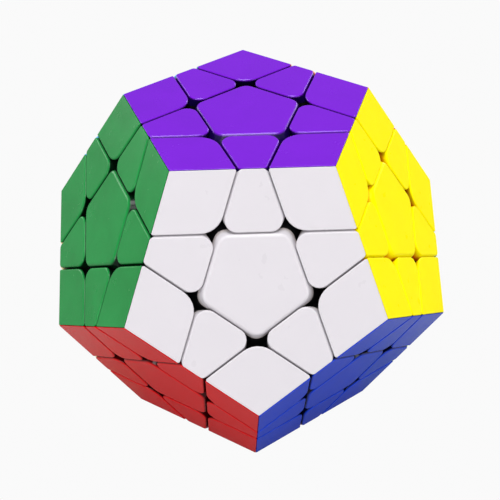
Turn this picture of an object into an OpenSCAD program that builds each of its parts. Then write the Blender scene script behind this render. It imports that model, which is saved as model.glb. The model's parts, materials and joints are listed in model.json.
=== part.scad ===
// Twelve-sided twisty puzzle: a dodecahedron whose twelve faces turn.
// The origin is the middle of the core and the purple face is up, along +Z.
// Every layer is bounded only by planes square to its own axis and by spheres
// about the origin, so it turns freely in its neighbours. Outside the sphere
// catch_r a layer starts at the plane cut_plane. Inside that sphere it starts
// at catch_plane, which is deeper, so the feet reach under the neighbouring
// pieces and hold the puzzle together on its round core.

/* [Body] */
// Length of one edge of the dodecahedron
side = 33; // [32:0.5:36]
// Depth of the cut plane as a share of the distance from the middle to a face
cut_ratio = 0.68; // [0.67:0.005:0.69]
// Clearance between neighbouring pieces
gap = 0.3; // [0.2:0.05:0.4]

/* [Coloured shells] */
// Thickness of the coloured shells and caps
shell_thickness = 2; // [1.8:0.1:2.2]
// Radius of the pegs that plug the shells into their bases
peg_r = 1.2; // [1:0.1:1.4]
// Radius on the inner corners of the corner pieces
corner_round = 5.5; // [4:0.5:6]
// Radius on the inner corners of the edge pieces
edge_round = 2; // [1.4:0.1:2.8]
// Radius on the corners of the centre pieces
centre_round = 3; // [2:0.5:6]

/* [Feet] */
// Thickness of the feet that hold edges and corners in
foot_thickness = 2.4; // [2:0.1:2.6]

/* [Core and screws] */
// Thickness of the round core shell
core_wall = 1.75; // [1.5:0.05:2]
// Outer radius of the hub under each centre
hub_r = 6.4; // [6:0.1:6.6]
// Radius of the screw shank
screw_r = 1.4; // [1.2:0.1:1.5]
// Radius of the screw head
head_r = 2.6; // [2.2:0.1:3]
// Radius of the spring to the middle of its wire
spring_r = 2.6; // [2.4:0.1:3]
// Number of turns in each spring
spring_turns = 4; // [3:1:4]

/* [Hidden] */
PURPLE = 0;
WHITE = 1;
YELLOW = 2;
ORANGE = 3;
SKY = 4;
GREEN = 5;
BLUE = 6;
LIME = 7;
GREY = 8;
CREAM = 9;
RED = 10;
PINK = 11;
// Colour of each face, in the order above
FACE_COLOUR = [
    "#7a1fd8", "#f2f2f4", "#f9ec10", "#f47a1c", "#6fc3ee", "#2f9e4f",
    "#1f3fc0", "#a4de3a", "#8c8f94", "#f3e6a6", "#cc2229", "#f48fb8"
];
BLACK = "#17171a";
STEEL = "#b9bcc2";

// Angle between the axes of two faces that touch
ring_angle = acos(1 / sqrt(5));
// Distance from the middle to a face, and to a corner
inradius = side * sqrt((25 + 11 * sqrt(5)) / 40);
circumradius = side * sqrt(3) * (1 + sqrt(5)) / 4;
reach = circumradius + 5;
half_gap = gap / 2;
// Planes that bound a layer, outside and inside the sphere catch_r
cut_plane = cut_ratio * inradius;
catch_plane = 0.585 * inradius;
catch_r = inradius - 2.55;
// The coloured shells lie on the black bases, which end at base_top
seam = 0.05;
shell_bottom = inradius - shell_thickness;
base_top = shell_bottom - seam;
peg_length = 2.5;
peg_play = 0.1;
// How far from a face's axis the pegs of its corner and edge pieces stand
corner_peg = 0.56 * inradius;
edge_peg = 0.45 * inradius;
foot_top = catch_r - half_gap;
foot_bottom = foot_top - foot_thickness;
neck_half = 0.5;
// A rounding stops just short of tangency, so that it meets the wall at an angle
round_bite = 0.03;
// Core: a ball in two halves, with a socket and a boss for each centre
core_r = foot_bottom - gap;
socket_r = hub_r + 0.4;
socket_wall = 1.4;
socket_floor = core_r - 6.35;
socket_floor_thickness = 2;
boss_r = 3.2;
boss_end = socket_floor - 10;
bore_end = boss_end + 1.5;
bore_r = screw_r + 0.1;
lip_height = 2.5;
lip_gap = 0.3;
lip_r = core_r - core_wall - lip_gap;
lip_wall = 1.3;
// Centre: hub, spring pocket and cap
hub_end = socket_floor + 0.3;
hub_floor = hub_end + 1.3;
pocket_r = 4;
shank_hole_r = screw_r + 0.4;
cap_ring_in = 4.7;
cap_ring_out = 5.5;
cap_ring_depth = 1;
ring_play = 0.15;
// Screw, washer and spring, as heights along the face's axis
head_height = 1.1;
head_top = shell_bottom - 0.3;
head_bottom = head_top - head_height;
washer_height = 0.5;
washer_r = head_r + 0.6;
washer_top = head_bottom - 0.05;
washer_bottom = washer_top - washer_height;
screw_end = bore_end + 0.5;
recess_depth = 0.6;
recess_width = 0.7;
recess_length = 3;
wire_r = 0.35;
wire_sides = 5;
steps_per_turn = 8;
spring_bottom = hub_floor + wire_r + 0.15;
spring_top = washer_bottom - wire_r - 0.15;

$fn = 96;

// A face's axis as its angle from +Z and its angle round Z
function polar(face) =
    face == PURPLE ? 0 :
    face == PINK ? 180 :
    face <= GREEN ? ring_angle : 180 - ring_angle;
function azimuth(face) =
    face == PURPLE || face == PINK ? 0 :
    face <= GREEN ? -90 + 72 * (face - WHITE) : -54 + 72 * (face - BLUE);
// Unit vector out through the middle of a face
function axis(face) = [
    sin(polar(face)) * cos(azimuth(face)),
    sin(polar(face)) * sin(azimuth(face)),
    cos(polar(face))
];
function touching(a, b) = a != b && axis(a) * axis(b) > 0.4;
function neighbours(a) = [for (face = [PURPLE:PINK]) if (touching(a, face)) face];
// The two faces that touch both a and b, at the ends of their shared edge
function edge_ends(a, b) = [for (face = neighbours(a)) if (touching(b, face)) face];

// Turns +Z to the given direction
module facing(direction) {
    rotate([0, acos(direction.z / norm(direction)), atan2(direction.y, direction.x)])
        children();
}

// A ball about the origin, turned so that its seam is on the far side
module ball(r, direction) {
    facing(direction)
        rotate([0, 90, 0])
            sphere(r);
}

// The space between two planes square to a direction
module slab(direction, near, far) {
    facing(direction)
        translate([-reach, -reach, near])
            cube([2 * reach, 2 * reach, far - near]);
}

// Where a layer is: from its cut plane up to the given height
module layer(face, top = inradius) {
    slab(axis(face), cut_plane + half_gap, top);
}

// Where a layer is not
module outside_layer(face) {
    slab(axis(face), -reach, cut_plane - half_gap);
}

// The same two spaces inside the sphere catch_r
module foot_layer(face) {
    slab(axis(face), catch_plane + half_gap, reach);
}

module outside_foot_layer(face) {
    slab(axis(face), -reach, catch_plane - half_gap);
}

// What a radius takes off the edge where two walls meet. The solid lies where
// u * x > at_u and v * x > at_v.
module rounding(u, at_u, v, at_v, radius) {
    cosine = u * v;
    ridge = ((at_u - cosine * at_v) * u + (at_v - cosine * at_u) * v) / (1 - cosine * cosine);
    inward = (u + v) / norm(u + v);
    along = cross(u, v) / norm(cross(u, v));
    across = cross(along, inward);
    half_angle = asin(inward * u);
    stand_off = (radius - round_bite) / sin(half_angle);
    start = stand_off * cos(half_angle) * cos(half_angle);
    half_width = start * tan(half_angle) + 1;
    multmatrix([
        [inward.x, across.x, along.x, ridge.x],
        [inward.y, across.y, along.y, ridge.y],
        [inward.z, across.z, along.z, ridge.z],
        [0, 0, 0, 1]
    ])
        linear_extrude(2 * reach, center = true)
            difference() {
                translate([-1, -half_width])
                    square([start + 1, 2 * half_width]);
                translate([stand_off, 0])
                    circle(radius);
            }
}

// A round peg under a shell of this face, or the hole for it
module peg(face, direction, distance, play = 0) {
    along = direction - (direction * axis(face)) * axis(face);
    translate((shell_bottom - peg_length - play) * axis(face) + distance * along / norm(along))
        facing(axis(face))
            cylinder(r = peg_r + play, h = peg_length + play + shell_thickness / 4);
}

// The space of a corner piece, up to the given height under each of its faces
module corner_space(a, b, c, top = inradius) {
    intersection() {
        layer(a, top);
        layer(b, top);
        layer(c, top);
    }
}

module corner_rounding(a, b) {
    rounding(axis(a), cut_plane + half_gap, axis(b), cut_plane + half_gap, corner_round);
}

// One coloured shell of a corner piece, on face a
module corner_shell(a, b, c) {
    color(FACE_COLOUR[a]) {
        difference() {
            intersection() {
                corner_space(a, b, c);
                slab(axis(a), shell_bottom, reach);
                slab(axis(a) - axis(b), seam, reach);
                slab(axis(a) - axis(c), seam, reach);
            }
            corner_rounding(b, c);
        }
        peg(a, axis(b) + axis(c), corner_peg);
    }
}

// Black base of a corner piece: foot, neck and block
module corner_base(a, b, c) {
    outward = axis(a) + axis(b) + axis(c);
    color(BLACK) {
        difference() {
            intersection() {
                ball(foot_top, outward);
                foot_layer(a);
                foot_layer(b);
                foot_layer(c);
            }
            ball(foot_bottom, outward);
        }
        difference() {
            corner_space(a, b, c, base_top);
            ball(catch_r - neck_half, outward);
            corner_rounding(a, b);
            corner_rounding(b, c);
            corner_rounding(c, a);
            peg(a, axis(b) + axis(c), corner_peg, peg_play);
            peg(b, axis(c) + axis(a), corner_peg, peg_play);
            peg(c, axis(a) + axis(b), corner_peg, peg_play);
        }
    }
}

module corner_piece(a, b, c) {
    corner_base(a, b, c);
    corner_shell(a, b, c);
    corner_shell(b, c, a);
    corner_shell(c, a, b);
}

// The space of an edge piece, up to the given height under each of its faces
module edge_space(a, b, top = inradius) {
    ends = edge_ends(a, b);
    intersection() {
        layer(a, top);
        layer(b, top);
        outside_layer(ends[0]);
        outside_layer(ends[1]);
    }
}

// Rounds the two inner corners of an edge piece on the face away from b
module edge_roundings(a, b) {
    for (end = edge_ends(a, b))
        rounding(axis(b), cut_plane + half_gap, -axis(end), half_gap - cut_plane, edge_round);
}

// One coloured shell of an edge piece, on face a
module edge_shell(a, b) {
    color(FACE_COLOUR[a]) {
        difference() {
            intersection() {
                edge_space(a, b);
                slab(axis(a), shell_bottom, reach);
                slab(axis(a) - axis(b), seam, reach);
            }
            edge_roundings(a, b);
        }
        peg(a, axis(b), edge_peg);
    }
}

// Black base of an edge piece: foot, neck and block
module edge_base(a, b) {
    ends = edge_ends(a, b);
    outward = axis(a) + axis(b);
    color(BLACK) {
        difference() {
            intersection() {
                ball(foot_top, outward);
                foot_layer(a);
                foot_layer(b);
                outside_foot_layer(ends[0]);
                outside_foot_layer(ends[1]);
            }
            ball(foot_bottom, outward);
        }
        difference() {
            intersection() {
                edge_space(a, b);
                outside_foot_layer(ends[0]);
                outside_foot_layer(ends[1]);
                ball(catch_r + neck_half, outward);
            }
            ball(catch_r - neck_half, outward);
        }
        difference() {
            edge_space(a, b, base_top);
            ball(catch_r + half_gap, outward);
            edge_roundings(a, b);
            edge_roundings(b, a);
            peg(a, axis(b), edge_peg, peg_play);
            peg(b, axis(a), edge_peg, peg_play);
        }
    }
}

module edge_piece(a, b) {
    edge_base(a, b);
    edge_shell(a, b);
    edge_shell(b, a);
}

// An edge piece and the corner piece below it, as separate solids
module edge_and_pink_corner(a, b) {
    edge_piece(a, b);
    corner_piece(a, b, PINK);
}

// The five-sided space of a centre piece, with rounded corners
module centre_space(face) {
    around = neighbours(face);
    difference() {
        intersection() {
            outside_layer(around[0]);
            outside_layer(around[1]);
            outside_layer(around[2]);
            outside_layer(around[3]);
            outside_layer(around[4]);
            children();
        }
        for (a = around)
            for (b = around)
                if (a < b && touching(a, b))
                    rounding(-axis(a), half_gap - cut_plane, -axis(b), half_gap - cut_plane, centre_round);
    }
}

// A ring about a face's axis
module face_ring(face, outer, inner, near, far) {
    facing(axis(face))
        translate([0, 0, near])
            difference() {
                cylinder(r = outer, h = far - near);
                translate([0, 0, -1])
                    cylinder(r = inner, h = far - near + 2);
            }
}

// Cap of a centre, with the ring that plugs it into its base
module centre_cap(face) {
    color(FACE_COLOUR[face]) {
        centre_space(face)
            slab(axis(face), shell_bottom + seam, inradius);
        face_ring(face, cap_ring_out, cap_ring_in, shell_bottom - cap_ring_depth, shell_bottom + 2 * seam);
    }
}

// Black base of a centre: five-sided block, hub, spring pocket and hole for the screw
module centre_base(face) {
    color(BLACK)
        difference() {
            union() {
                difference() {
                    centre_space(face)
                        slab(axis(face), socket_floor, shell_bottom - seam);
                    ball(catch_r + half_gap, axis(face));
                }
                facing(axis(face))
                    translate([0, 0, hub_end])
                        cylinder(r = hub_r, h = shell_bottom - seam - hub_end);
            }
            facing(axis(face)) {
                translate([0, 0, hub_floor])
                    cylinder(r = pocket_r, h = reach);
                cylinder(r = shank_hole_r, h = reach);
            }
            face_ring(
                face,
                cap_ring_out + ring_play,
                cap_ring_in - ring_play,
                shell_bottom - cap_ring_depth - ring_play,
                inradius
            );
        }
}

module centre_piece(face) {
    centre_base(face);
    centre_cap(face);
}

// The core as one body, before it is parted
module core_ball() {
    difference() {
        union() {
            difference() {
                sphere(core_r);
                sphere(core_r - core_wall);
            }
            for (face = [PURPLE:PINK])
                facing(axis(face)) {
                    translate([0, 0, boss_end])
                        cylinder(r = boss_r, h = socket_floor - boss_end);
                    intersection() {
                        translate([0, 0, socket_floor - socket_floor_thickness])
                            cylinder(r = socket_r + socket_wall, h = reach);
                        sphere(core_r - core_wall / 2);
                    }
                }
        }
        for (face = [PURPLE:PINK])
            facing(axis(face)) {
                translate([0, 0, socket_floor])
                    cylinder(r = socket_r, h = reach);
                translate([0, 0, bore_end])
                    cylinder(r = bore_r, h = reach);
            }
    }
}

// Two half balls. The lower one has a lip that fits inside the upper one.
module core() {
    color(BLACK) {
        intersection() {
            core_ball();
            translate([-reach, -reach, seam])
                cube([2 * reach, 2 * reach, reach]);
        }
        difference() {
            union() {
                intersection() {
                    core_ball();
                    translate([-reach, -reach, -reach - seam])
                        cube([2 * reach, 2 * reach, reach]);
                }
                translate([0, 0, -lip_height])
                    cylinder(r = lip_r + 2 * lip_gap, h = lip_height - seam);
                translate([0, 0, -lip_height])
                    cylinder(r = lip_r, h = 2 * lip_height);
            }
            cylinder(r = lip_r - lip_wall, h = 4 * lip_height, center = true);
        }
    }
}

// A cross-headed screw on the +Z axis
module screw() {
    difference() {
        union() {
            translate([0, 0, head_bottom])
                cylinder(r = head_r, h = head_height);
            translate([0, 0, screw_end])
                cylinder(r = screw_r, h = head_bottom - screw_end);
        }
        for (turn = [0, 90])
            rotate([0, 0, turn])
                translate([-recess_length / 2, -recess_width / 2, head_top - recess_depth])
                    cube([recess_length, recess_width, 1]);
    }
}

// One screw and one washer for each centre
module face_screws() {
    color(STEEL)
        for (face = [PURPLE:PINK]) {
            facing(axis(face))
                screw();
            face_ring(face, washer_r, screw_r + 0.15, washer_bottom, washer_top);
        }
}

// One compression spring for each centre
module face_springs() {
    color(STEEL)
        for (face = [PURPLE:PINK])
            facing(axis(face))
                translate([0, 0, spring_bottom])
                    linear_extrude(
                        spring_top - spring_bottom,
                        twist = -360 * spring_turns,
                        slices = steps_per_turn * spring_turns,
                        $fn = wire_sides
                    )
                        translate([spring_r, 0])
                            circle(wire_r);
}

core();
face_screws();
face_springs();
centre_piece(PURPLE);  // purple_centre
centre_piece(WHITE);  // white_centre
centre_piece(YELLOW);  // yellow_centre
centre_piece(ORANGE);  // orange_centre
centre_piece(SKY);  // sky_centre
centre_piece(GREEN);  // green_centre
centre_piece(BLUE);  // blue_centre
centre_piece(LIME);  // lime_centre
centre_piece(GREY);  // grey_centre
centre_piece(CREAM);  // cream_centre
centre_piece(RED);  // red_centre
centre_piece(PINK);  // pink_centre
edge_piece(PURPLE, WHITE);  // purple_white_edge
edge_piece(PURPLE, YELLOW);  // purple_yellow_edge
edge_piece(PURPLE, ORANGE);  // purple_orange_edge
edge_piece(PURPLE, SKY);  // purple_sky_edge
edge_piece(PURPLE, GREEN);  // purple_green_edge
edge_piece(WHITE, YELLOW);  // white_yellow_edge
edge_piece(WHITE, GREEN);  // white_green_edge
edge_piece(WHITE, BLUE);  // white_blue_edge
edge_piece(WHITE, RED);  // white_red_edge
edge_piece(YELLOW, ORANGE);  // yellow_orange_edge
edge_piece(YELLOW, BLUE);  // yellow_blue_edge
edge_piece(YELLOW, LIME);  // yellow_lime_edge
edge_piece(ORANGE, SKY);  // orange_sky_edge
edge_piece(ORANGE, LIME);  // orange_lime_edge
edge_piece(ORANGE, GREY);  // orange_grey_edge
edge_piece(SKY, GREEN);  // sky_green_edge
edge_piece(SKY, GREY);  // sky_grey_edge
edge_piece(SKY, CREAM);  // sky_cream_edge
edge_piece(GREEN, CREAM);  // green_cream_edge
edge_piece(GREEN, RED);  // green_red_edge
edge_and_pink_corner(BLUE, LIME);  // blue_lime_edge_and_pink_corner
edge_and_pink_corner(BLUE, RED);  // blue_red_edge_and_pink_corner
edge_piece(BLUE, PINK);  // blue_pink_edge
edge_and_pink_corner(LIME, GREY);  // lime_grey_edge_and_pink_corner
edge_piece(LIME, PINK);  // lime_pink_edge
edge_and_pink_corner(GREY, CREAM);  // grey_cream_edge_and_pink_corner
edge_piece(GREY, PINK);  // grey_pink_edge
edge_and_pink_corner(CREAM, RED);  // cream_red_edge_and_pink_corner
edge_piece(CREAM, PINK);  // cream_pink_edge
edge_piece(RED, PINK);  // red_pink_edge
corner_piece(PURPLE, WHITE, YELLOW);  // purple_white_yellow_corner
corner_piece(PURPLE, WHITE, GREEN);  // purple_white_green_corner
corner_piece(PURPLE, YELLOW, ORANGE);  // purple_yellow_orange_corner
corner_piece(PURPLE, ORANGE, SKY);  // purple_orange_sky_corner
corner_piece(PURPLE, SKY, GREEN);  // purple_sky_green_corner
corner_piece(WHITE, YELLOW, BLUE);  // white_yellow_blue_corner
corner_piece(WHITE, GREEN, RED);  // white_green_red_corner
corner_piece(WHITE, BLUE, RED);  // white_blue_red_corner
corner_piece(YELLOW, ORANGE, LIME);  // yellow_orange_lime_corner
corner_piece(YELLOW, BLUE, LIME);  // yellow_blue_lime_corner
corner_piece(ORANGE, SKY, GREY);  // orange_sky_grey_corner
corner_piece(ORANGE, LIME, GREY);  // orange_lime_grey_corner
corner_piece(SKY, GREEN, CREAM);  // sky_green_cream_corner
corner_piece(SKY, GREY, CREAM);  // sky_grey_cream_corner
corner_piece(GREEN, CREAM, RED);  // green_cream_red_corner
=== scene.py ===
import json
import math

import bmesh
import bpy
from mathutils import Matrix, Vector

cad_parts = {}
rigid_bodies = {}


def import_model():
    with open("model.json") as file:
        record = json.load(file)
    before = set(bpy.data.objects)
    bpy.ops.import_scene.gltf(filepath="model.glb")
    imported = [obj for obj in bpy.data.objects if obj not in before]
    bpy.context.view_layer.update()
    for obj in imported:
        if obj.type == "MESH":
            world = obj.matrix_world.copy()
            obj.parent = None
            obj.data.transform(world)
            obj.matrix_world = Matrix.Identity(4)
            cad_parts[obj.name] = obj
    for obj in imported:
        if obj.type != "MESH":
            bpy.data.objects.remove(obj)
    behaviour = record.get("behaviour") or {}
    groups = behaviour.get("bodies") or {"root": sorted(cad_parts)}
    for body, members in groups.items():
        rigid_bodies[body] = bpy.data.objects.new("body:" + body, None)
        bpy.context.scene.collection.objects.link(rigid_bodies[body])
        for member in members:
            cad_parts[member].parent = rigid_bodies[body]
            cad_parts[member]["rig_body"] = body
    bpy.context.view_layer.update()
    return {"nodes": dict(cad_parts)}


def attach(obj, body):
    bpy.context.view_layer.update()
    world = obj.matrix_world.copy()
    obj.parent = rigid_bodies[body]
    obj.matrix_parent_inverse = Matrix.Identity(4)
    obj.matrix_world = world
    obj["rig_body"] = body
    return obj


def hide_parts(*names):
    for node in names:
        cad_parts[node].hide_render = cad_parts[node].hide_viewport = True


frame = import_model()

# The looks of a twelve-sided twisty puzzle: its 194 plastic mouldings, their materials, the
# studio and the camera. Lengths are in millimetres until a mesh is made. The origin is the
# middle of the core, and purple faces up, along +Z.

MM = 0.001

# Faces in the order of their numbers. Purple is up and pink is down.
FACES = [
    "purple", "white", "yellow", "orange", "sky", "green",
    "blue", "lime", "grey", "cream", "red", "pink",
]
PINK = 11
RING_ANGLE = math.acos(1 / math.sqrt(5))

# The sizes that part.scad uses
SIDE = 33
INRADIUS = SIDE * math.sqrt((25 + 11 * math.sqrt(5)) / 40)
HALF_GAP = 0.15
CUT_PLANE = 0.68 * INRADIUS
CATCH_PLANE = 0.585 * INRADIUS
CATCH_R = INRADIUS - 2.55
SEAM = 0.05
SHELL_THICKNESS = 2
SHELL_BOTTOM = INRADIUS - SHELL_THICKNESS
BASE_TOP = SHELL_BOTTOM - SEAM
PEG_R = 1.2
PEG_LENGTH = 2.5
PEG_PLAY = 0.1
CORNER_PEG = 0.56 * INRADIUS
EDGE_PEG = 0.45 * INRADIUS
FOOT_TOP = CATCH_R - HALF_GAP
FOOT_THICKNESS = 2.4
FOOT_BOTTOM = FOOT_TOP - FOOT_THICKNESS
CORE_R = FOOT_BOTTOM - 2 * HALF_GAP
SOCKET_DEPTH = 6.35
CORNER_ROUND = 5.5
EDGE_ROUND = 2
CENTRE_ROUND = 3
CAP_RING_IN = 4.7
CAP_RING_OUT = 5.5
CAP_RING_DEPTH = 1
RING_PLAY = 0.15
HUB_R = 6.4
HUB_CLEARANCE = 0.3
HUB_FLOOR_THICKNESS = 1.3
HUB_END = CORE_R - SOCKET_DEPTH + HUB_CLEARANCE
HUB_FLOOR = HUB_END + HUB_FLOOR_THICKNESS
POCKET_R = 4
SHANK_HOLE_R = 1.8

# Fillets, which only these meshes have
GAP_FILLET = 0.42
PALE_FILLET = 0.26
PALE_FACES = ("white", "yellow", "cream")
SEAM_FILLET = 0.1
CENTRE_FILLET = 0.9
OUTER_CORNER_ROUND = 0.45
TIP_ROUND = 0.2
FOOT_CORNER_ROUND = 0.5
BASE_CHAMFER = 0.2
FILLET_STEPS = 5

# Points closer than this, in metres, are welded, and edges sharper than this stay crisp
WELD_DISTANCE = 1e-7
CRISP_ANGLE = math.radians(36)
FACE_WEIGHT = 90


def face_axis(face):
    """Unit vector out through the middle of a face."""
    if face in (0, PINK):
        return Vector((0, 0, 1 if face == 0 else -1))
    upper = face <= 5
    polar = RING_ANGLE if upper else math.pi - RING_ANGLE
    azimuth = math.radians(-90 + 72 * (face - 1) if upper else -54 + 72 * (face - 6))
    return Vector((
        math.sin(polar) * math.cos(azimuth),
        math.sin(polar) * math.sin(azimuth),
        math.cos(polar),
    ))


AXES = [face_axis(face) for face in range(12)]


def touching(a, b):
    return a != b and AXES[a].dot(AXES[b]) > 0.4


def neighbours(face):
    """The five faces round a face, in order round its axis."""
    found = [b for b in range(12) if touching(face, b)]
    ordered = [found[0]]
    while len(ordered) < 5:
        last = ordered[-1]
        ordered.append(next(
            b for b in found
            if touching(last, b) and AXES[last].cross(AXES[b]).dot(AXES[face]) > 0
        ))
    return ordered


def edge_ends(a, b):
    """The two faces at the ends of the edge that a and b share."""
    return [c for c in range(12) if touching(a, c) and touching(b, c)]


# ---------------------------------------------------------------- outlines

class Wall:
    """A plane that bounds a piece. The piece lies where out . p <= offset."""

    def __init__(self, out, offset, fillet=GAP_FILLET):
        self.out = out
        self.offset = offset
        self.fillet = fillet


def outer_cut(face, plane=CUT_PLANE):
    """The wall of a piece that lies in this face's layer."""
    return Wall(-AXES[face], -(plane + HALF_GAP))


def inner_cut(face, plane=CUT_PLANE, fillet=GAP_FILLET):
    """The wall of a piece that lies outside this face's layer."""
    return Wall(AXES[face], plane - HALF_GAP, fillet)


def seam_between(a, b):
    """The wall where face a's shell meets face b's shell of the same piece."""
    return Wall((AXES[b] - AXES[a]).normalized(), -SEAM, SEAM_FILLET)


class Rail:
    """A line down a piece's side: start + height * slope, with the wall's outward normal there."""

    def __init__(self, start, slope, out, fillet):
        self.start = start
        self.slope = slope
        self.out = out
        self.fillet = fillet

    def at(self, height):
        return self.start + height * self.slope

    def height_at(self, axis, distance):
        """The height at which the rail is that far out along another axis, if it ever is."""
        rise = self.slope.dot(axis)
        if rise < 1e-4:
            return math.inf
        return (distance - self.start.dot(axis)) / rise

    def at_radius(self, radius):
        """The outermost point of the rail on a ball about the origin."""
        a = self.slope.length_squared
        b = self.start.dot(self.slope)
        c = self.start.length_squared - radius * radius
        return self.at((-b + math.sqrt(b * b - a * c)) / a)


def corner_rails(axis, first, second, radius, steps):
    """Rails round the corner where two walls meet, from the first to the second."""
    along = first.out.cross(second.out).normalized()
    slope = along / along.dot(axis)
    planes = Matrix((first.out, second.out, axis))
    middle = planes.inverted() @ Vector((first.offset - radius, second.offset - radius, 0))
    rails = []
    for k in range(steps + 1):
        share = k / steps
        out = first.out.slerp(second.out, share)
        start = middle + radius * (out - slope * out.dot(axis))
        fillet = first.fillet + share * (second.fillet - first.fillet)
        rails.append(Rail(start, slope, out, fillet))
    return rails


def blend_rails(a, b, share):
    return Rail(a.start.lerp(b.start, share), a.slope.lerp(b.slope, share), a.out, a.fillet)


def outline(axis, walls, radii, corner_steps=6, side_steps=6):
    """Rails right round a piece. radii[i] rounds the corner between walls i and i + 1."""
    count = len(walls)
    corners = [
        corner_rails(axis, walls[i], walls[(i + 1) % count], radii[i], corner_steps)
        for i in range(count)
    ]
    loop = []
    for i in range(count):
        loop += corners[i]
        start, end = corners[i][-1], corners[(i + 1) % count][0]
        loop += [blend_rails(start, end, k / side_steps) for k in range(1, side_steps)]
    return loop


def anticlockwise(axis, walls, radii):
    """The walls and radii in the order that runs anticlockwise about an axis."""
    if walls[0].out.cross(walls[1].out).dot(axis) > 0:
        return walls, radii
    return walls[::-1], radii[-2::-1] + radii[-1:]


# ---------------------------------------------------------------- meshes

class Mould:
    """Gathers the points and faces of one piece, in millimetres."""

    def __init__(self):
        self.points = []
        self.faces = []

    def ring(self, points):
        first = len(self.points)
        self.points += points
        return list(range(first, len(self.points)))

    def bridge(self, a, b):
        """Quads between two closed rings with as many points."""
        for k in range(len(a)):
            n = (k + 1) % len(a)
            self.faces.append([a[k], a[n], b[n], b[k]])

    def lid(self, ring):
        self.faces.append(list(ring))

    def step(self, ring, points):
        """Joins a ring to new points, one for each of its own, and returns the new ring."""
        new = self.ring(points)
        self.bridge(ring, new)
        return new

    def line(self, a, b, steps=8):
        """New points on the line between two points."""
        start, end = self.points[a], self.points[b]
        return self.ring([start.lerp(end, k / steps) for k in range(1, steps)])

    def turned(self, ring, axis, offset, profile):
        """Joins a ring to a row of circles about an axis, and returns the last circle.
        The profile gives each circle's radius and its height along the axis."""
        sides = [self.points[k] - offset for k in ring]
        sides = [(p - axis * p.dot(axis)).normalized() for p in sides]
        for radius, height in profile:
            ring = self.step(ring, [offset + axis * height + radius * side for side in sides])
        return ring

    def dome(self, ring, radius, steps=4):
        """Closes a ring with a surface on a ball about the origin."""
        points = [self.points[k] for k in ring]
        middle = sum(points, Vector()) / len(points)
        for step in range(1, steps):
            inner = self.ring([
                p.lerp(middle, step / steps).normalized() * radius for p in points
            ])
            self.bridge(ring, inner)
            ring = inner
        self.lid(ring)

    def belt(self, ring, target, radius, steps=3):
        """Joins a ring to the target points by a band on a ball, and returns the last ring."""
        points = [self.points[k] for k in ring]
        for step in range(1, steps + 1):
            share = step / steps
            inner = self.ring([
                p.lerp(q, share).normalized() * radius if share < 1 else q
                for p, q in zip(points, target)
            ])
            self.bridge(ring, inner)
            ring = inner
        return ring

    def make(self, name, material):
        """The piece as an object, welded, closed and with its normals outward."""
        mesh = bpy.data.meshes.new(name)
        bm = bmesh.new()
        verts = [bm.verts.new(p * MM) for p in self.points]
        for face in self.faces:
            unique = list(dict.fromkeys(face))
            if len(unique) > 2:
                bm.faces.new([verts[k] for k in unique])
        bmesh.ops.remove_doubles(bm, verts=bm.verts, dist=WELD_DISTANCE)
        bmesh.ops.recalc_face_normals(bm, faces=bm.faces)
        for face in bm.faces:
            face.smooth = True
        for edge in bm.edges:
            if len(edge.link_faces) == 2:
                edge.smooth = edge.calc_face_angle(0) < CRISP_ANGLE
        bm.to_mesh(mesh)
        bm.free()
        mesh.materials.append(material)
        piece = bpy.data.objects.new(name, mesh)
        bpy.context.scene.collection.objects.link(piece)
        weighted = piece.modifiers.new("face_weights", "WEIGHTED_NORMAL")
        weighted.keep_sharp = True
        weighted.weight = FACE_WEIGHT
        return piece


def fillet_points(rail, axis, top, share):
    """A point on the fillet between the wall (share 0) and the top (share 1)."""
    f = rail.fillet
    centre = rail.at(top - f + f * rail.out.dot(axis)) - f * rail.out
    return centre + f * rail.out.slerp(axis, share)


def add_top(mould, rails, axis, top):
    """The flat top and the fillet round it. Returns the lowest ring of the fillet."""
    ring = None
    for step in range(FILLET_STEPS, -1, -1):
        lower = mould.ring([
            fillet_points(rail, axis, top, step / FILLET_STEPS) for rail in rails
        ])
        if ring is None:
            mould.lid(lower)
        else:
            mould.bridge(ring, lower)
        ring = lower
    return ring


def peg_offset(axis, direction, distance):
    """Where a peg stands, square to the face's axis."""
    along = direction - direction.dot(axis) * axis
    return distance * along.normalized()


def shell_mesh(face, walls, radii, peg, name, material):
    """A coloured shell: a plate with a mitred outer side, and the peg under it."""
    axis = AXES[face]
    if FACES[face] in PALE_FACES:
        for wall in walls:
            wall.fillet = min(wall.fillet, PALE_FILLET)
    rails = outline(axis, walls, radii)
    mould = Mould()
    ring = add_top(mould, rails, axis, INRADIUS)
    ring = mould.step(ring, [rail.at(SHELL_BOTTOM) for rail in rails])
    peg_end = SHELL_BOTTOM - PEG_LENGTH
    ring = mould.turned(ring, axis, peg, [
        (PEG_R, SHELL_BOTTOM),
        (PEG_R, peg_end + BASE_CHAMFER),
        (PEG_R - BASE_CHAMFER, peg_end),
    ])
    mould.lid(ring)
    return mould.make(name, material)


def corner_shell(face, b, c, name, material):
    walls = [outer_cut(b), outer_cut(c), seam_between(face, b), seam_between(face, c)]
    radii = [CORNER_ROUND, OUTER_CORNER_ROUND, TIP_ROUND, OUTER_CORNER_ROUND]
    peg = peg_offset(AXES[face], AXES[b] + AXES[c], CORNER_PEG)
    return shell_mesh(face, *anticlockwise(AXES[face], walls, radii), peg, name, material)


def edge_shell(face, b, name, material):
    ends = edge_ends(face, b)
    walls = [outer_cut(b), inner_cut(ends[0]), seam_between(face, b), inner_cut(ends[1])]
    radii = [EDGE_ROUND, OUTER_CORNER_ROUND, OUTER_CORNER_ROUND, EDGE_ROUND]
    peg = peg_offset(AXES[face], AXES[b], EDGE_PEG)
    return shell_mesh(face, *anticlockwise(AXES[face], walls, radii), peg, name, material)


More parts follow.
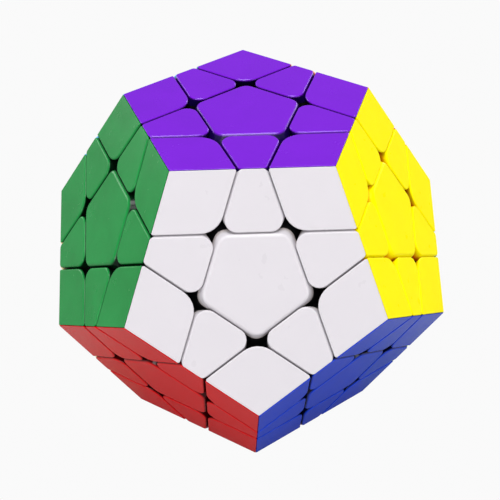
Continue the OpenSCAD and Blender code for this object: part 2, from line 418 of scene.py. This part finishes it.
def base_mesh(faces, foot, neck, block, name, material):
    """A black base: the foot, the neck and the block that carries a shell on each of its faces."""
    mould = Mould()
    ring = mould.ring([rail.at_radius(FOOT_BOTTOM) for rail in foot])
    mould.dome(ring, FOOT_BOTTOM)
    for rails, radius in [
        (foot, FOOT_TOP - BASE_CHAMFER),
        (foot, FOOT_TOP),
        (neck, FOOT_TOP),
        (neck, CATCH_R + HALF_GAP),
        (block, CATCH_R + HALF_GAP),
    ]:
        ring = mould.step(ring, [rail.at_radius(radius) for rail in rails])
    heights = [{face: rail.height_at(AXES[face], BASE_TOP) for face in faces} for rail in block]
    lowest = [min(height.values()) for height in heights]
    top = mould.step(ring, [rail.at(height) for rail, height in zip(block, lowest)])
    count = len(block)
    if len(faces) == 3:
        outward = sum((AXES[face] for face in faces), Vector())
        apex = mould.ring([outward * BASE_TOP / outward.dot(AXES[faces[0]])])[0]
    for face in faces:
        on_face = [abs(height[face] - low) < 1e-3 for height, low in zip(heights, lowest)]
        first = next(k for k in range(count) if on_face[k] and not on_face[k - 1])
        ring = []
        while on_face[(first + len(ring)) % count]:
            ring.append(top[(first + len(ring)) % count])
        if len(faces) == 3:
            distance = CORNER_PEG
            ring += mould.line(ring[-1], apex) + [apex] + mould.line(apex, ring[0])
        else:
            distance = EDGE_PEG
            ring += mould.line(ring[-1], ring[0])
        others = sum((AXES[other] for other in faces if other != face), Vector())
        ring = mould.turned(ring, AXES[face], peg_offset(AXES[face], others, distance), [
            (PEG_R + PEG_PLAY, BASE_TOP),
            (PEG_R + PEG_PLAY, SHELL_BOTTOM - PEG_LENGTH - PEG_PLAY),
        ])
        mould.lid(ring)
    return mould.make(name, material)


def corner_base(a, b, c, name, material):
    axis = (AXES[a] + AXES[b] + AXES[c]).normalized()
    sides = []
    for plane, radius in ((CATCH_PLANE, FOOT_CORNER_ROUND), (CUT_PLANE, CORNER_ROUND)):
        walls = [outer_cut(face, plane) for face in (a, b, c)]
        sides.append(outline(axis, *anticlockwise(axis, walls, [radius] * 3), side_steps=10))
    foot, block = sides
    return base_mesh((a, b, c), foot, block, block, name, material)


def edge_base(a, b, name, material):
    axis = (AXES[a] + AXES[b]).normalized()
    ends = edge_ends(a, b)
    sides = {}
    for part, side_plane, end_plane in [
        ("foot", CATCH_PLANE, CATCH_PLANE),
        ("neck", CUT_PLANE, CATCH_PLANE),
        ("block", CUT_PLANE, CUT_PLANE),
    ]:
        walls = [
            outer_cut(a, side_plane),
            inner_cut(ends[0], end_plane),
            outer_cut(b, side_plane),
            inner_cut(ends[1], end_plane),
        ]
        radii = [EDGE_ROUND if part == "block" else FOOT_CORNER_ROUND] * 4
        walls, radii = anticlockwise(axis, walls, radii)
        sides[part] = outline(axis, walls, radii, corner_steps=5, side_steps=8)
    return base_mesh((a, b), sides["foot"], sides["neck"], sides["block"], name, material)


def centre_outline(face):
    walls = [inner_cut(b, fillet=CENTRE_FILLET) for b in neighbours(face)]
    return outline(AXES[face], walls, [CENTRE_ROUND] * 5, corner_steps=7)


def centre_cap(face, name, material):
    """The cap of a centre, with the ring under it that plugs into the base."""
    axis, rails = AXES[face], centre_outline(face)
    mould = Mould()
    ring = add_top(mould, rails, axis, INRADIUS)
    ring = mould.step(ring, [rail.at(SHELL_BOTTOM + SEAM) for rail in rails])
    ring = mould.turned(ring, axis, Vector(), [
        (CAP_RING_OUT, SHELL_BOTTOM + SEAM),
        (CAP_RING_OUT, SHELL_BOTTOM - CAP_RING_DEPTH),
        (CAP_RING_IN, SHELL_BOTTOM - CAP_RING_DEPTH),
        (CAP_RING_IN, SHELL_BOTTOM + SEAM),
    ])
    mould.lid(ring)
    return mould.make(name, material)


def centre_base(face, name, material):
    """The five-sided block of a centre, with its hub, its spring pocket and the hole for the screw."""
    axis, rails = AXES[face], centre_outline(face)
    high = SHELL_BOTTOM - SEAM
    groove = SHELL_BOTTOM - CAP_RING_DEPTH - RING_PLAY
    under = CATCH_R + HALF_GAP
    mould = Mould()
    first = mould.ring([rail.at(high) for rail in rails])
    ring = mould.turned(first, axis, Vector(), [
        (CAP_RING_OUT + RING_PLAY, high),
        (CAP_RING_OUT + RING_PLAY, groove),
        (CAP_RING_IN - RING_PLAY, groove),
        (CAP_RING_IN - RING_PLAY, high),
        (POCKET_R, high),
        (POCKET_R, HUB_FLOOR),
        (SHANK_HOLE_R, HUB_FLOOR),
        (SHANK_HOLE_R, HUB_END),
        (HUB_R - BASE_CHAMFER, HUB_END),
        (HUB_R, HUB_END + BASE_CHAMFER),
        (HUB_R, math.sqrt(under ** 2 - HUB_R ** 2)),
    ])
    ring = mould.belt(ring, [rail.at_radius(under) for rail in rails], under)
    mould.bridge(ring, first)
    return mould.make(name, material)


# ---------------------------------------------------------------- materials

def ramp_between(nodes, links, source, low, high):
    """Maps a noise from about 0.3 to 0.7 onto the range from low to high."""
    spread = nodes.new("ShaderNodeMapRange")
    spread.inputs["From Min"].default_value = 0.3
    spread.inputs["From Max"].default_value = 0.7
    spread.inputs["To Min"].default_value = low
    spread.inputs["To Max"].default_value = high
    links.new(source, spread.inputs["Value"])
    return spread.outputs["Result"]


def noise(nodes, links, place, size, detail=3.0, distortion=0.0):
    """A noise whose marks are about size millimetres across."""
    texture = nodes.new("ShaderNodeTexNoise")
    texture.inputs["Scale"].default_value = 1 / (size * MM)
    texture.inputs["Detail"].default_value = detail
    texture.inputs["Distortion"].default_value = distortion
    links.new(place, texture.inputs["Vector"])
    return texture.outputs["Fac"]


def painted_shade_mask(nodes, links, place, axis, start, end):
    """Runs from 0 to 1 between two depths below the face that an axis points out of. It places the painted
    shade on the side walls.
    """
    along = nodes.new("ShaderNodeVectorMath")
    along.operation = "DOT_PRODUCT"
    along.inputs[1].default_value = axis / MM
    links.new(place, along.inputs[0])
    depth = nodes.new("ShaderNodeMapRange")
    depth.inputs["From Min"].default_value = INRADIUS - start
    depth.inputs["From Max"].default_value = INRADIUS - end
    links.new(along.outputs["Value"], depth.inputs["Value"])
    return depth.outputs["Result"]


# Sockets of a Mix node that mixes colours
MIX_FACTOR, MIX_FROM, MIX_TO, MIX_RESULT = 0, 6, 7, 2


def mixed(nodes, links, factor, start, end):
    """Runs from the start, a colour or the socket of one, to the end colour."""
    mix = nodes.new("ShaderNodeMix")
    mix.data_type = "RGBA"
    links.new(factor, mix.inputs[MIX_FACTOR])
    if isinstance(start, tuple):
        mix.inputs[MIX_FROM].default_value = (*start, 1)
    else:
        links.new(start, mix.inputs[MIX_FROM])
    mix.inputs[MIX_TO].default_value = (*end, 1)
    return mix.outputs[MIX_RESULT]


def moulded(
    name, colour, shade, roughness, specular,
    cloudy=0.0, painted_shade_tone=None, depths=None, axis=None, bump=1.0,
):
    """Moulded plastic: a colour that drifts a little towards its shade, a fine grain and a slow
    waviness. With an axis given, a painted shade darkens the colour down the side walls under that face, in
    place of the shadow in the gaps between pieces."""
    material = bpy.data.materials.new(name)
    material.use_nodes = True
    nodes, links = material.node_tree.nodes, material.node_tree.links
    nodes.clear()
    output = nodes.new("ShaderNodeOutputMaterial")
    shader = nodes.new("ShaderNodeBsdfPrincipled")
    links.new(shader.outputs["BSDF"], output.inputs["Surface"])
    place = nodes.new("ShaderNodeTexCoord").outputs["Object"]

    drift = noise(nodes, links, place, 9, detail=4, distortion=0.6)
    speck = noise(nodes, links, place, 0.5, detail=2)
    blend = nodes.new("ShaderNodeMath")
    blend.operation = "MULTIPLY_ADD"
    links.new(ramp_between(nodes, links, drift, 0, 0.75), blend.inputs[0])
    blend.inputs[1].default_value = 0.8
    links.new(ramp_between(nodes, links, speck, 0, 0.2), blend.inputs[2])
    tone = mixed(nodes, links, blend.outputs[0], colour, shade)
    if axis is not None:
        # Painted shade: the colour turns to a darker tone down the side walls, in place of the shadow in the
        # gaps between pieces.
        tone = mixed(nodes, links, painted_shade_mask(nodes, links, place, axis, *depths), tone, painted_shade_tone)
    links.new(tone, shader.inputs["Base Color"])

    polish = noise(nodes, links, place, 4, detail=5)
    links.new(
        ramp_between(nodes, links, polish, roughness - 0.03, roughness + 0.04),
        shader.inputs["Roughness"],
    )

    grain = nodes.new("ShaderNodeBump")
    grain.inputs["Strength"].default_value = 0.08 * bump
    grain.inputs["Distance"].default_value = 0.01 * MM
    links.new(noise(nodes, links, place, 0.6, detail=2), grain.inputs["Height"])
    waves = nodes.new("ShaderNodeBump")
    waves.inputs["Strength"].default_value = 0.5 * bump
    waves.inputs["Distance"].default_value = 0.05 * MM
    links.new(noise(nodes, links, place, 8, detail=1, distortion=0.4), waves.inputs["Height"])
    links.new(grain.outputs["Normal"], waves.inputs["Normal"])
    links.new(waves.outputs["Normal"], shader.inputs["Normal"])

    shader.inputs["Specular IOR Level"].default_value = specular
    if cloudy:
        shader.inputs["Subsurface Weight"].default_value = cloudy
        shader.inputs["Subsurface Radius"].default_value = colour
        shader.inputs["Subsurface Scale"].default_value = 1.2 * MM
    return material


def linear(r, g, b):
    """A colour given as it shows on screen, from 0 to 255, as the shader's own numbers."""
    return tuple(
        v / 255 / 12.92 if v <= 10 else ((v / 255 + 0.055) / 1.055) ** 2.4 for v in (r, g, b)
    )


# For each face: its colour, the shade it drifts towards, the painted shade of its gaps (a darker tone
# painted on the side walls in place of the shadow there; on yellow its orange stands in for light bouncing
# between the walls), the depths between which it turns to that tone, how strongly it mirrors, how rough it
# is and how cloudy it is
PLASTICS = {
    "purple": ((116, 16, 204), (110, 14, 196), (20, 2, 70), (0.1, 0.5), 0.45, 0.24, 0),
    "white": ((203, 199, 204), (201, 197, 202), (190, 180, 176), (1.0, 2.0), 0.4, 0.3, 0.15),
    "yellow": ((255, 242, 2), (254, 236, 2), (226, 84, 6), (0.5, 1.8), 0.03, 0.3, 0.1),
    "orange": ((246, 116, 22), (238, 108, 18), (110, 30, 6), (0.1, 0.7), 0.35, 0.28, 0),
    "sky": ((100, 188, 234), (94, 180, 228), (16, 60, 100), (0.1, 0.7), 0.4, 0.28, 0),
    "green": ((27, 142, 66), (20, 124, 54), (2, 24, 10), (0.1, 0.5), 0.25, 0.24, 0),
    "blue": ((2, 64, 222), (2, 60, 210), (2, 6, 40), (0.05, 0.4), 0.2, 0.13, 0),
    "lime": ((154, 214, 52), (148, 206, 48), (50, 84, 10), (0.1, 0.7), 0.35, 0.28, 0),
    "grey": ((132, 135, 140), (126, 129, 134), (34, 36, 40), (0.1, 0.7), 0.4, 0.28, 0),
    "cream": ((242, 226, 160), (237, 219, 152), (140, 112, 60), (0.4, 1.4), 0.35, 0.28, 0.1),
    "red": ((226, 8, 14), (218, 7, 12), (64, 2, 4), (0.05, 0.4), 0.2, 0.13, 0),
    "pink": ((244, 138, 180), (239, 130, 174), (130, 44, 76), (0.1, 0.9), 0.35, 0.28, 0),
}
plastic = {}
for face, name in enumerate(FACES):
    colour, shade, painted_shade_tone, depths, mirror, roughness, cloudy = PLASTICS[name]
    plastic[name] = moulded(
        f"{name}_abs", linear(*colour), linear(*shade), roughness, mirror, cloudy,
        linear(*painted_shade_tone), depths, AXES[face],
    )
black = moulded("black_abs", linear(16, 16, 18), linear(24, 24, 26), 0.42, 0.4, bump=1.5)


def turned_steel(name):
    """Zinc-plated steel with fine turning marks."""
    material = bpy.data.materials.new(name)
    material.use_nodes = True
    nodes, links = material.node_tree.nodes, material.node_tree.links
    shader = nodes["Principled BSDF"]
    shader.inputs["Metallic"].default_value = 1.0
    place = nodes.new("ShaderNodeTexCoord").outputs["Object"]
    stain = noise(nodes, links, place, 1.2, detail=6)
    tone = mixed(nodes, links, stain, (0.62, 0.63, 0.65), (0.46, 0.46, 0.47))
    links.new(tone, shader.inputs["Base Color"])
    links.new(
        ramp_between(nodes, links, noise(nodes, links, place, 0.6, detail=4), 0.22, 0.4),
        shader.inputs["Roughness"],
    )
    marks = nodes.new("ShaderNodeBump")
    marks.inputs["Strength"].default_value = 0.3
    marks.inputs["Distance"].default_value = 0.02 * MM
    links.new(noise(nodes, links, place, 0.15, detail=2), marks.inputs["Height"])
    links.new(marks.outputs["Normal"], shader.inputs["Normal"])
    return material


steel = turned_steel("plated_steel")


# ---------------------------------------------------------------- the pieces

def place(piece, node, material_slot):
    """The piece moves with its node's body and stands for that node."""
    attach(piece, frame["nodes"][node]["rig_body"])
    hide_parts(node)


def node_of(faces, kind):
    """The CAD node that holds an edge or corner piece."""
    own = "_".join(FACES[face] for face in faces) + "_" + kind
    if own in frame["nodes"]:
        return own
    return "_".join(FACES[face] for face in faces[:2]) + "_edge_and_pink_corner"


for face, colour in enumerate(FACES):
    node = f"{colour}_centre"
    place(centre_cap(face, f"{node}_cap", plastic[colour]), node, f"{colour}_plastic")
    place(centre_base(face, f"{node}_base", black), node, "black_plastic")

for a in range(12):
    for b in range(a + 1, 12):
        if not touching(a, b):
            continue
        node = node_of((a, b), "edge")
        title = f"{FACES[a]}_{FACES[b]}_edge"
        place(edge_base(a, b, f"{title}_base", black), node, "black_plastic")
        for face, other in ((a, b), (b, a)):
            colour = FACES[face]
            shell = edge_shell(face, other, f"{title}_{colour}_shell", plastic[colour])
            place(shell, node, f"{colour}_plastic")
        for c in range(b + 1, 12):
            if not (touching(a, c) and touching(b, c)):
                continue
            node = node_of((a, b, c), "corner")
            title = f"{FACES[a]}_{FACES[b]}_{FACES[c]}_corner"
            place(corner_base(a, b, c, f"{title}_base", black), node, "black_plastic")
            for face, left, right in ((a, b, c), (b, c, a), (c, a, b)):
                colour = FACES[face]
                shell = corner_shell(face, left, right, f"{title}_{colour}_shell", plastic[colour])
                place(shell, node, f"{colour}_plastic")

for node, material in (("core", black), ("face_screws", steel), ("face_springs", steel)):
    carried = frame["nodes"][node]
    for index in range(len(carried.material_slots)):
        carried.material_slots[index].material = material


# ---------------------------------------------------------------- studio

FLOOR_HALF = 6.0
FLOOR_DROP = 0.00002
PAPER_TONE = 0.955
REFLECTED_TONE = 0.33


def studio_floor():
    """A pale paper sweep. The camera sees it as one even tone, without the puzzle's shadow.
    All other rays see a darker paper, so that it doesn't wash out the faces that look down."""
    mesh = bpy.data.meshes.new("floor")
    bm = bmesh.new()
    bmesh.ops.create_grid(bm, x_segments=2, y_segments=2, size=FLOOR_HALF)
    bm.to_mesh(mesh)
    bm.free()
    floor = bpy.data.objects.new("floor", mesh)
    floor.location.z = -INRADIUS * MM - FLOOR_DROP
    bpy.context.scene.collection.objects.link(floor)
    material = bpy.data.materials.new("pale_paper")
    material.use_nodes = True
    nodes, links = material.node_tree.nodes, material.node_tree.links
    nodes.clear()
    output = nodes.new("ShaderNodeOutputMaterial")
    paper = nodes.new("ShaderNodeBsdfDiffuse")
    paper.inputs["Color"].default_value = (REFLECTED_TONE, REFLECTED_TONE, REFLECTED_TONE, 1)
    even = nodes.new("ShaderNodeEmission")
    even.inputs["Color"].default_value = (PAPER_TONE, PAPER_TONE, PAPER_TONE, 1)
    seen = nodes.new("ShaderNodeLightPath").outputs["Is Camera Ray"]
    choice = nodes.new("ShaderNodeMixShader")
    links.new(seen, choice.inputs["Fac"])
    links.new(paper.outputs["BSDF"], choice.inputs[1])
    links.new(even.outputs["Emission"], choice.inputs[2])
    links.new(choice.outputs["Shader"], output.inputs["Surface"])
    mesh.materials.append(material)


def softbox(name, azimuth, elevation, size, power):
    """A square soft light that faces the puzzle. Azimuth runs from +X towards +Y."""
    light = bpy.data.lights.new(name, "AREA")
    light.shape = "SQUARE"
    light.size = size
    light.energy = power
    lamp = bpy.data.objects.new(name, light)
    turn, lift = math.radians(azimuth), math.radians(elevation)
    outward = Vector((
        math.cos(lift) * math.cos(turn),
        math.cos(lift) * math.sin(turn),
        math.sin(lift),
    ))
    lamp.location = SOFTBOX_DISTANCE * outward
    lamp.rotation_euler = (-outward).to_track_quat("-Z", "Y").to_euler()
    bpy.context.scene.collection.objects.link(lamp)


SKY = 0.27
SOFTBOX_DISTANCE = 1.0
# Each light's name, azimuth, elevation, side in metres and power in watts
SOFTBOXES = [
    ("front", -100, 42, 0.4, 2.2),
    ("top", -90, 80, 0.6, 8.8),
    ("low_left", -130, 4, 0.5, 4.8),
    ("low_right", -42, 4, 0.5, 3.9),
    ("back_right", 50, 6, 0.5, 3.0),
    ("back_left", 140, 6, 0.5, 2.4),
]

studio_floor()
world = bpy.data.worlds.new("studio")
world.use_nodes = True
world.node_tree.nodes["Background"].inputs["Color"].default_value = (1.0, 1.0, 1.0, 1)
world.node_tree.nodes["Background"].inputs["Strength"].default_value = SKY
bpy.context.scene.world = world
for settings in SOFTBOXES:
    softbox(*settings)
bpy.context.scene.view_settings.view_transform = "Standard"

# ---------------------------------------------------------------- camera

CAMERA_POSITION = Vector((-8.25, -229.68, 168.65))
CAMERA_FORWARD = Vector((0.02952, 0.80595, -0.59124))
CAMERA_RIGHT = Vector((0.99906, -0.04251, -0.00806))
SENSOR = 36.0
LENS = 89.7

camera_data = bpy.data.cameras.new("camera")
camera_data.sensor_width = SENSOR
camera_data.lens = LENS
camera_data.clip_start = 0.01
camera = bpy.data.objects.new("camera", camera_data)
forward = CAMERA_FORWARD.normalized()
right = (CAMERA_RIGHT - forward * CAMERA_RIGHT.dot(forward)).normalized()
up = right.cross(forward)
turned = Matrix((right, up, -forward)).transposed().to_4x4()
camera.matrix_world = Matrix.Translation(CAMERA_POSITION * MM) @ turned
bpy.context.scene.collection.objects.link(camera)
bpy.context.scene.camera = camera
